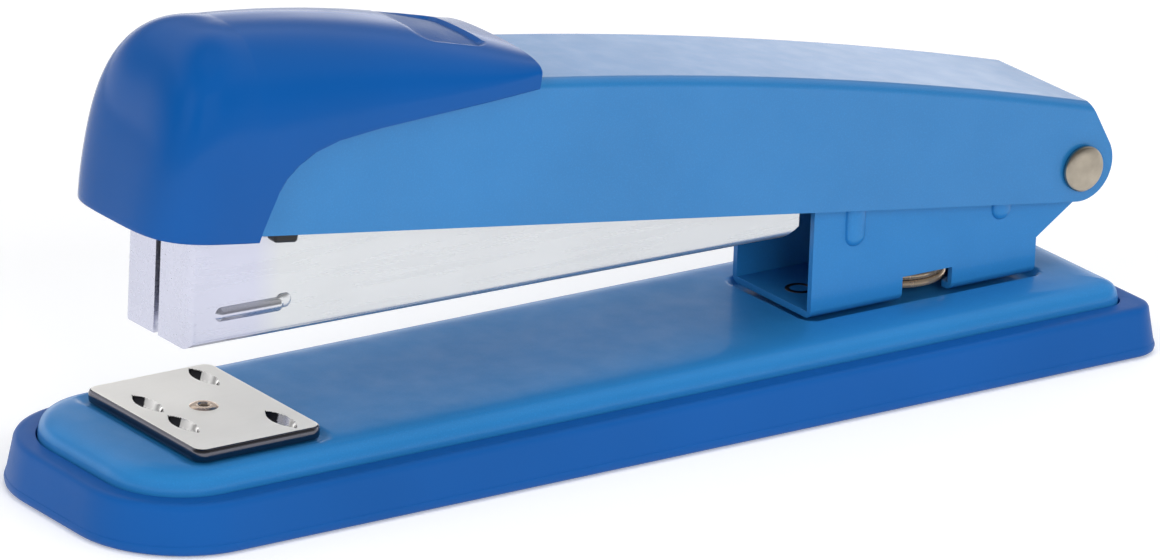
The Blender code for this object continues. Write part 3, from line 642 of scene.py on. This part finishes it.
def make_bracket():
    """Painted U that carries the pin, with rolled corners, a spring window and two ribs on each wall."""
    low = BRACKET_FOOT - PIVOT_MM.z
    front = PIVOT_MM.x - bracket_low.x
    rear = front - 37.6
    outline = [(front, low), (front, 2.0), (30.0, 3.6)] + arc((0, 0), 5.0, 80, 235, 28)
    outline += [(rear, low + 5.2), (rear, low)]

    def floor_edge(a, b):
        return abs(a.z - low) < 0.01 and abs(b.z - low) < 0.01 and abs(a.y - b.y) < 0.01

    bracket = prism("bracket", outline, BRACKET_HALF, BRACKET, floor_edge)
    bevel(bracket, 1.2, 6, weights=True)
    inner = BRACKET_HALF - SHEET
    inside = box("bracket_inside", (-60, -inner, low + SHEET), (20, inner, 40), BRACKET)
    window = box("bracket_window", (-27.8, -20, low - 1), (-19.5, -5, low + 3.4), BRACKET)
    spring_low, spring_high, spring = node_size("return_spring")
    well_radius = (spring_high.x - spring_low.x) / 2 + 0.6
    well = [(0, 0), (well_radius, 0), (well_radius, -30), (0, -30)]
    well = lathe("spring_well", well, (spring.x - PIVOT_MM.x, 0, 0), matrix=BRACKET)
    cut(bracket, inside, window, well, pin_bore("bracket_bore", BRACKET))
    for side in (-1, 1):
        for u, high, foot in ((36.2, 0.2, -4.0), (11.7, -2.6, -4.4)):
            rib = bead(f"rib_{u}_{side}", (u, high), (u, foot), side * BRACKET_HALF, 1.6, 0.85, BRACKET)
            cut(bracket, rib, operation="UNION")
    bevel(bracket, 0.28, 3, 50)
    return piece(settle(bracket, 40), "base", "base_paint_lit_brighter", "hanger_bracket")


def make_eyelets():
    """Two dark eyelets that hold the bracket's floor to the plate."""
    floor = BRACKET_FOOT + SHEET
    for end in ("front", "rear"):
        low, _, middle = node_size(f"bracket_rivet_{end}")
        profile = [(0, floor - 1.2), (1.3, floor - 1.2), (1.35, floor), (1.5, floor + 0.15)]
        profile += [(1.7, floor + 0.17), (1.95, floor + 0.06), (2.0, floor - 0.1), (1.5, floor - 0.2)]
        profile += [(1.5, low.z), (0, low.z)]
        eyelet = lathe(f"eyelet_{end}", profile, (middle.x, 0, 0))
        piece(shade(eyelet, 45), "base", "oxide", f"bracket_rivet_{end}")


def make_pin():
    """Turned pin with a low domed head at each end."""
    low, high, _ = node_size("pivot_pin")
    radius = (high.z - low.z) / 2
    shank = 11.4
    head = high.y - shank
    dome = []
    for degrees in range(0, 91, 9):
        a = math.radians(degrees)
        dome.append((radius * math.sin(a), shank + head * (0.35 + 0.65 * math.cos(a))))
    profile = dome + [(radius, shank + 0.05), (PIN_RADIUS, shank)]
    profile += [(PIN_RADIUS, -shank), (radius, -shank - 0.05)]
    profile += [(r, -h) for r, h in reversed(dome)]
    pin = lathe("hinge_pin", profile, (PIVOT_MM.x, 0, PIVOT_MM.z), "Y", 64)
    return piece(shade(pin, 50), "base", "turned", "pivot_pin")


def make_return_spring():
    """Bronze-coloured coil under the magazine: close turns at its foot, open ones above."""
    low, high, middle = node_size("return_spring")
    wire, close = 1.0, 1.12
    floor = PLATE_TOP - 0.75
    foot, seat = floor + wire / 2, high.z - wire / 2
    pitch = (seat - foot - 4 * close) / 4
    heights = [foot]
    for step in [close] * 3 + [pitch] * 4 + [close]:
        heights.append(heights[-1] + step)
    spring = coil("magazine_spring", (high.x - low.x - wire) / 2, wire, heights, (middle.x, 0, 0))
    piece(shade(spring, 60), "base", "spring", "return_spring")
    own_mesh(spring)


def make_anvil_spring():
    """Coil between the anvil's button and the plate's underside."""
    low, high, middle = node_size("anvil_spring")
    wire, turns = 0.7, 5
    foot, top = low.z + wire / 2, high.z - wire / 2
    heights = [foot + (top - foot) * i / turns for i in range(turns + 1)]
    spring = coil("anvil_return_spring", (high.y - low.y - wire) / 2, wire, heights, (middle.x, 0, 0))
    piece(shade(spring, 60), "base", "steel", "anvil_spring")
    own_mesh(spring)


def make_pusher_spring():
    """Long coil round the pusher's rod, from the pusher back to the rail's cross pin."""
    front, rear, wire, turns = 126.1, 57.1, 0.5, 24
    heights = [wire / 2 - front + (front - rear - wire) * i / turns for i in range(turns + 1)]
    spring = coil("pusher_coil", 1.85, wire, heights, (0, 0, 0.3), 32, "X", MAGAZINE)
    piece(shade(spring, 60), "magazine", "steel", "pusher_spring")
    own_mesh(spring)


# ---------------------------------------------------------------- magazine

MAGAZINE_NOSE, MAGAZINE_HALF, MAGAZINE_SHEET = 141.2, 7.6, 1.0
MAGAZINE_BOTTOM, MAGAZINE_TOP, NOSE_TOP = -3.9, 7.5, 12.6


def make_magazine():
    """Zinc-plated channel with rolled edges, two nose flaps with a slit between them, and two ribs."""
    low, sheet, seat = MAGAZINE_BOTTOM, MAGAZINE_SHEET, 2.2
    outline = [(MAGAZINE_NOSE, low), (47.0, low), (44.6, low + 1.6), (44.6, seat), (13.0, seat)]
    outline += arc((0, 0), 4.4, -70, -180, 18)
    outline += [(-4.4, 3.0), (-1.5, MAGAZINE_TOP - 0.5), (96.0, MAGAZINE_TOP), (120.0, NOSE_TOP)]
    outline += [(MAGAZINE_NOSE, NOSE_TOP)]

    def rolled(a, b):
        along = abs(a.y - b.y) < 0.01 and abs(a.z - low) < 0.01 and abs(b.z - low) < 0.01
        nose = abs(a.x + MAGAZINE_NOSE) < 0.01 and abs(b.x + MAGAZINE_NOSE) < 0.01 and abs(a.y - b.y) < 0.01
        return along or nose

    channel = prism("magazine", outline, MAGAZINE_HALF, MAGAZINE, rolled)
    bevel(channel, 1.3, 6, weights=True)
    inner = [
        (MAGAZINE_NOSE - sheet, low + sheet), (45.8, low + sheet), (43.4, low + sheet + 2.2),
        (43.4, seat + sheet), (12.0, seat + sheet), (12.0, -8.0), (-12.0, -8.0), (-12.0, 22.0),
        (MAGAZINE_NOSE - sheet, 22.0),
    ]  # fmt: skip
    inside = prism("magazine_inside", inner, MAGAZINE_HALF - sheet, MAGAZINE)
    slit = box("nose_slit", (-MAGAZINE_NOSE - 2, -0.55, low - 2), (-MAGAZINE_NOSE + 2, 0.55, 30), MAGAZINE)
    front = -MAGAZINE_NOSE + sheet
    exit_half = MAGAZINE_HALF - sheet
    exit_slot = box("exit_slot", (front, -exit_half, low - 2), (front + 2.2, exit_half, low + 3), MAGAZINE)
    cut(channel, inside, slit, exit_slot, pin_bore("magazine_bore", MAGAZINE))
    for side in (-1, 1):
        wall = side * MAGAZINE_HALF
        rib = bead(f"nose_rib_{side}", (136.2, 0.35), (127.6, 0.35), wall, 1.0, 0.65, MAGAZINE, True)
        dimple = bead(f"nose_dimple_{side}", (127.0, 0.75), (126.6, 0.75), wall, 1.0, 0.35, MAGAZINE)
        cut(channel, rib, dimple, operation="UNION")
    bevel(channel, FINE, 2, 50)
    return piece(settle(channel, 40), "magazine", "zinc", "magazine_channel")


# ---------------------------------------------------------------- arm

ARM_HALF, ARM_BOTTOM, ARM_FRONT = 11.1, -4.7, 137.0


def arm_top(u):
    """Height of the arm's top over the pin."""
    return 9.1 + 0.1255 * u - 0.000679 * u * u


def make_arm():
    """Pressed steel channel, open below, with crisp top ridges and two round ears."""
    steps = 40
    stations = [ARM_FRONT * (1 - i / steps) for i in range(steps + 1)]
    outline = [(u, arm_top(u)) for u in stations]
    outline += arc((0, 0.4), 5.2, 145, 270, 30) + [(ARM_FRONT, ARM_BOTTOM)]
    ridge = arm_top(0) - 0.1

    def top_edge(a, b):
        return abs(a.y - b.y) < 0.01 and min(a.z, b.z) > ridge and abs(a.x - b.x) > 1

    arm = prism("arm", outline, ARM_HALF, ARM, top_edge)
    bevel(arm, 1.4, 6, weights=True)
    inner = [(ARM_FRONT + 5, arm_top(ARM_FRONT) - SHEET)] + [(u, arm_top(u) - SHEET) for u in stations]
    inner += [(-12, 7.6), (-12, -12), (ARM_FRONT + 5, -12)]
    inside = prism("arm_inside", inner, ARM_HALF - SHEET, ARM)
    cut(arm, inside, pin_bore("arm_bore", ARM))
    bevel(arm, FINE, 2, 50)
    return piece(settle(arm, 40), "arm", "paint", "handle_arm")


CAP_FRONT, CAP_REAR, CAP_NOSE, CAP_RIM = 148.8, 93.4, 12.2, -5.2
CAP_WALL = 1.9
CAP_ROWS = 56
CAP_FLARE = 0.55  # how far the front leans out at its rim
PLAN_POWER, TOP_POWER = 3.9, 2.6

# The line where the cap's side ends over the arm, from the rim up and back: (u, w)
SWEEP = [
    (134.45, -5.2), (134.3, -3.8), (133.8, -1.6), (132.9, 1.5), (131.9, 3.4), (130.3, 5.1),
    (127.9, 6.8), (124.4, 8.2), (118.1, 9.6), (108.4, 11.25), (101.0, 12.5), (93.4, 13.9),
]  # fmt: skip


def eased(share, power):
    """Spreads shares so that a superellipse's points come out evenly."""
    return share**power / (share**power + (1 - share) ** power)


def cap_spine(u):
    """Height of the cap's top along its middle."""
    q = (u - CAP_REAR) / (CAP_FRONT - CAP_REAR)
    return 21.34 - 9.3 * (q - 0.6) ** 2


def cap_section(share, spine_w, foot, shrink):
    """The cap's cross-section from the wall's low end to the spine, in even steps.

    Each point is (inward share, half width, w).
    """
    knee_half = 12.1 + 1.2 * share - shrink
    rim_half = 12.1 + 0.5 * share - shrink
    knee_w = 15.8 - 14.0 * share
    dense = []
    if foot < knee_w:
        for i in range(60):
            w = foot + (knee_w - foot) * i / 60
            fall = (knee_w - w) / (knee_w - CAP_RIM)
            dense.append((1.0, knee_half - (knee_half - rim_half) * fall * fall, w))
    start = max((foot - knee_w) / (spine_w - knee_w), 0.0)
    first = math.asin(start ** (TOP_POWER / 2))
    for i in range(181):
        a = first + (math.pi / 2 - first) * i / 180
        inward = max(math.cos(a), 0.0) ** (2 / TOP_POWER)
        rise = math.sin(a) ** (2 / TOP_POWER)
        dense.append((inward, knee_half * inward, knee_w + (spine_w - knee_w) * rise))
    reach = [0.0]
    for a, b in zip(dense, dense[1:]):
        reach.append(reach[-1] + math.hypot(b[1] - a[1], b[2] - a[2]))
    section = []
    k = 0
    for i in range(CAP_ROWS + 1):
        target = reach[-1] * i / CAP_ROWS
        while k < len(reach) - 2 and reach[k + 1] < target:
            k += 1
        t = (target - reach[k]) / (reach[k + 1] - reach[k])
        section.append(tuple(p + (q - p) * t for p, q in zip(dense[k], dense[k + 1])))
    return section


def cap_column(station, foot, shrink=0.0):
    """One half column of the cap's skin from its free edge to the spine: (u, y, w) points.

    A station is u along the hood, or (u, angle) round its nose.
    """
    u, turn = station if isinstance(station, tuple) else (station, 0.0)
    share = (u - CAP_REAR) / (CAP_FRONT - CAP_NOSE - CAP_REAR)
    forward = (CAP_NOSE - shrink) * math.sin(turn) ** (2 / PLAN_POWER)
    across = max(math.cos(turn), 0.0) ** (2 / PLAN_POWER)
    section = cap_section(share, cap_spine(u) - shrink, foot, shrink)
    column = []
    for inward, half, w in section:
        flare = CAP_FLARE * math.sin(turn) * smooth_step(-w, -12.0, -CAP_RIM)
        column.append((u + forward * inward + flare, across * half, w))
    return column


def cap_stations():
    """Stations from the cap's rear to its nose: (station, height of the wall's low end)."""
    spine_end = CAP_FRONT - CAP_NOSE
    stations = []
    for (u0, w0), (u1, w1) in reversed(list(zip(SWEEP, SWEEP[1:]))):
        parts = max(int(math.hypot(u1 - u0, w1 - w0) / 0.45), 2)
        for i in range(parts):
            t = 1 - i / parts
            stations.append((u0 + (u1 - u0) * t, w0 + (w1 - w0) * t))
    stations += [(SWEEP[0][0], CAP_RIM)]
    stations += [(u, CAP_RIM) for u in (135.0, 135.7)]
    turns = 44
    for i in range(turns + 1):
        stations.append(((spine_end, math.pi / 2 * eased(i / turns, 2.0)), CAP_RIM))
    return stations


PAD_MIDDLE, PAD_HALF_LENGTH, PAD_HALF_WIDTH, PAD_CORNER = 104.2, 5.2, 7.0, 2.2


def finger_pad(u, y):
    """How far a point is inside the finger pad, and how far back in it, both from 0 to 1."""
    d = rounded_distance(u, y, PAD_MIDDLE, PAD_HALF_LENGTH, PAD_HALF_WIDTH, PAD_CORNER)
    rearward = (PAD_MIDDLE + PAD_HALF_LENGTH - u) / (2 * PAD_HALF_LENGTH)
    return 1 - smooth_step(d, -0.3, 0.3), min(max(rearward, 0.0), 1.0)


def make_cap():
    """Moulded hood: an outer skin rolled over its free edge and up inside, with a sunk finger pad."""
    bm = bmesh.new()
    grid = []
    for station, foot in cap_stations():
        inner = cap_column(station, foot + 0.25, CAP_WALL)[CAP_ROWS // 4 :: -CAP_ROWS // 8]
        edge = [cap_column(station, foot, CAP_WALL - 0.3)[0], cap_column(station, foot, 0.3)[0]]
        edge.append(cap_column(station, foot + 0.08, 0.08)[0])
        half = inner + edge + cap_column(station, foot + 0.3)
        near = [Vector((-u, -y, w)) for u, y, w in half]
        far = [Vector((-u, y, w)) for u, y, w in reversed(half[:-1])]
        row = []
        for point in near + far:
            mask, rearward = finger_pad(-point.x, point.y)
            if point.z > 15 and mask > 0:
                point.z -= mask * (0.1 + 0.5 * rearward)
            row.append(bm.verts.new(point))
        grid.append(row)
    for a, b in zip(grid, grid[1:]):
        for i in range(len(a) - 1):
            bm.faces.new((a[i], a[i + 1], b[i + 1], b[i]))
    bmesh.ops.remove_doubles(bm, verts=bm.verts, dist=0.004)
    bmesh.ops.dissolve_degenerate(bm, edges=bm.edges, dist=0.002)
    cap = make_object(bm, "cap", ARM)
    shade(cap, 50)
    piece(cap, "arm", "cap", "head_cap")
    cap.data.materials.append(MATERIALS["grip"])
    level = ARM.inverted()
    for face in cap.data.polygons:
        p = level @ face.center
        if p.z > 15 and finger_pad(-p.x, p.y)[0] > 0.6:
            face.material_index = 1
    return cap


# ---------------------------------------------------------------- studio


def area_light(name, place, size, power):
    """A soft light aimed at the stapler, left out of reflections."""
    data = bpy.data.lights.new(name, "AREA")
    data.shape = "RECTANGLE"
    data.size, data.size_y = size
    data.energy = power
    light = bpy.data.objects.new(name, data)
    light.location = place
    light.rotation_euler = (Vector((0, 0, 0.02)) - Vector(place)).to_track_quat("-Z", "Y").to_euler()
    light.visible_glossy = False
    bpy.context.scene.collection.objects.link(light)


def make_camera():
    """A long lens from the stapler's front right, a little above it and slightly rolled."""
    azimuth, elevation, roll = (math.radians(x) for x in (35.664, 19.616, 2.113))
    level_back = Vector((-math.sin(azimuth), -math.cos(azimuth), 0))
    back = level_back * math.cos(elevation) + Vector((0, 0, math.sin(elevation)))
    level = Vector((math.cos(azimuth), -math.sin(azimuth), 0))
    upright = back.cross(level)
    right = math.cos(roll) * level + math.sin(roll) * upright
    up = math.cos(roll) * upright - math.sin(roll) * level
    data = bpy.data.cameras.new("camera")
    data.sensor_width = 36.0
    data.lens = 313.55
    data.clip_end = 20.0
    camera = bpy.data.objects.new("camera", data)
    turn = Matrix((right, up, back)).transposed().to_4x4()
    camera.matrix_world = Matrix.Translation((-0.732548, -1.020450, 0.465851)) @ turn
    bpy.context.scene.collection.objects.link(camera)
    bpy.context.scene.camera = camera


def make_floor():
    """A wide pale disc just under the shoe."""
    bm = bmesh.new()
    bmesh.ops.create_circle(bm, cap_ends=True, segments=64, radius=6000)
    floor = make_object(bm, "floor", Matrix.Translation((0, 0, -0.0002)) @ FLAT)
    s = Shader("pale_floor").set(Roughness=0.9, Specular_IOR_Level=0.1, Emission_Strength=0.25)
    s.feed("Base Color", s.ramp(s.noise(2, 2), (0.86, 0.86, 0.86), (0.9, 0.9, 0.9)))
    s.surface.inputs["Emission Color"].default_value = (1, 1, 1, 1)
    floor.data.materials.append(s.material)


# The world's brightness by the sine of the elevation
WORLD_STOPS = [
    (0.0, 2.2), (0.08, 1.7), (0.14, 1.5), (0.25, 0.7), (0.33, 0.48), (0.44, 0.45), (0.6, 1.1), (0.75, 0.9),
    (0.95, 0.25),
]  # fmt: skip


def make_world():
    """A studio that is bright low down behind the object and dim in front and overhead."""
    world = bpy.data.worlds.new("studio")
    world.use_nodes = True
    tree = world.node_tree
    background = tree.nodes["Background"]
    direction = tree.nodes.new("ShaderNodeTexCoord").outputs["Generated"]
    split = tree.nodes.new("ShaderNodeSeparateXYZ")
    tree.links.new(direction, split.inputs["Vector"])
    ramp = tree.nodes.new("ShaderNodeValToRGB")
    tree.links.new(split.outputs["Z"], ramp.inputs["Fac"])
    elements = ramp.color_ramp.elements
    elements.remove(elements[1])
    for position, value in WORLD_STOPS:
        element = elements.new(position) if position else elements[0]
        element.color = (value, value, value * 1.02, 1)
    ahead = tree.nodes.new("ShaderNodeVectorMath")
    ahead.operation = "DOT_PRODUCT"
    ahead.inputs[1].default_value = (0.58, 0.81, 0.0)
    tree.links.new(direction, ahead.inputs[0])
    share = tree.nodes.new("ShaderNodeMapRange")
    share.inputs["From Min"].default_value = -0.35
    share.inputs["From Max"].default_value = 0.45
    share.inputs["To Min"].default_value = 0.22
    share.inputs["To Max"].default_value = 1.0
    tree.links.new(ahead.outputs["Value"], share.inputs["Value"])
    tree.links.new(ramp.outputs["Color"], background.inputs["Color"])
    tree.links.new(share.outputs["Result"], background.inputs["Strength"])
    bpy.context.scene.world = world


make_shoe()
make_lid()
make_anvil()
make_bracket()
make_eyelets()
make_pin()
make_return_spring()
make_anvil_spring()
make_magazine()
make_pusher_spring()
make_arm()
make_cap()

CARRIED = {
    "anvil_button": "black",
    "driver_blade": "steel",
    "driver_carrier": "black",
    "lift_spring": "steel",
    "pusher": "black",
    "pusher_rod": "steel",
    "rail_pin": "steel",
    "staple_rail": "zinc",
}
for node, material in CARRIED.items():
    obj = frame["nodes"][node]
    obj.data.materials.clear()
    obj.data.materials.append(MATERIALS[material])

make_camera()
make_floor()
make_world()
area_light("key", (-0.25, -1.7, 0.80), (1.2, 0.9), 17.5)
area_light("left_fill", (-1.5, -0.5, 0.9), (1.0, 1.0), 10.5)
area_light("top_fill", (0.1, -0.2, 1.6), (1.2, 1.2), 8.5)
bpy.context.scene.view_settings.view_transform = "Standard"
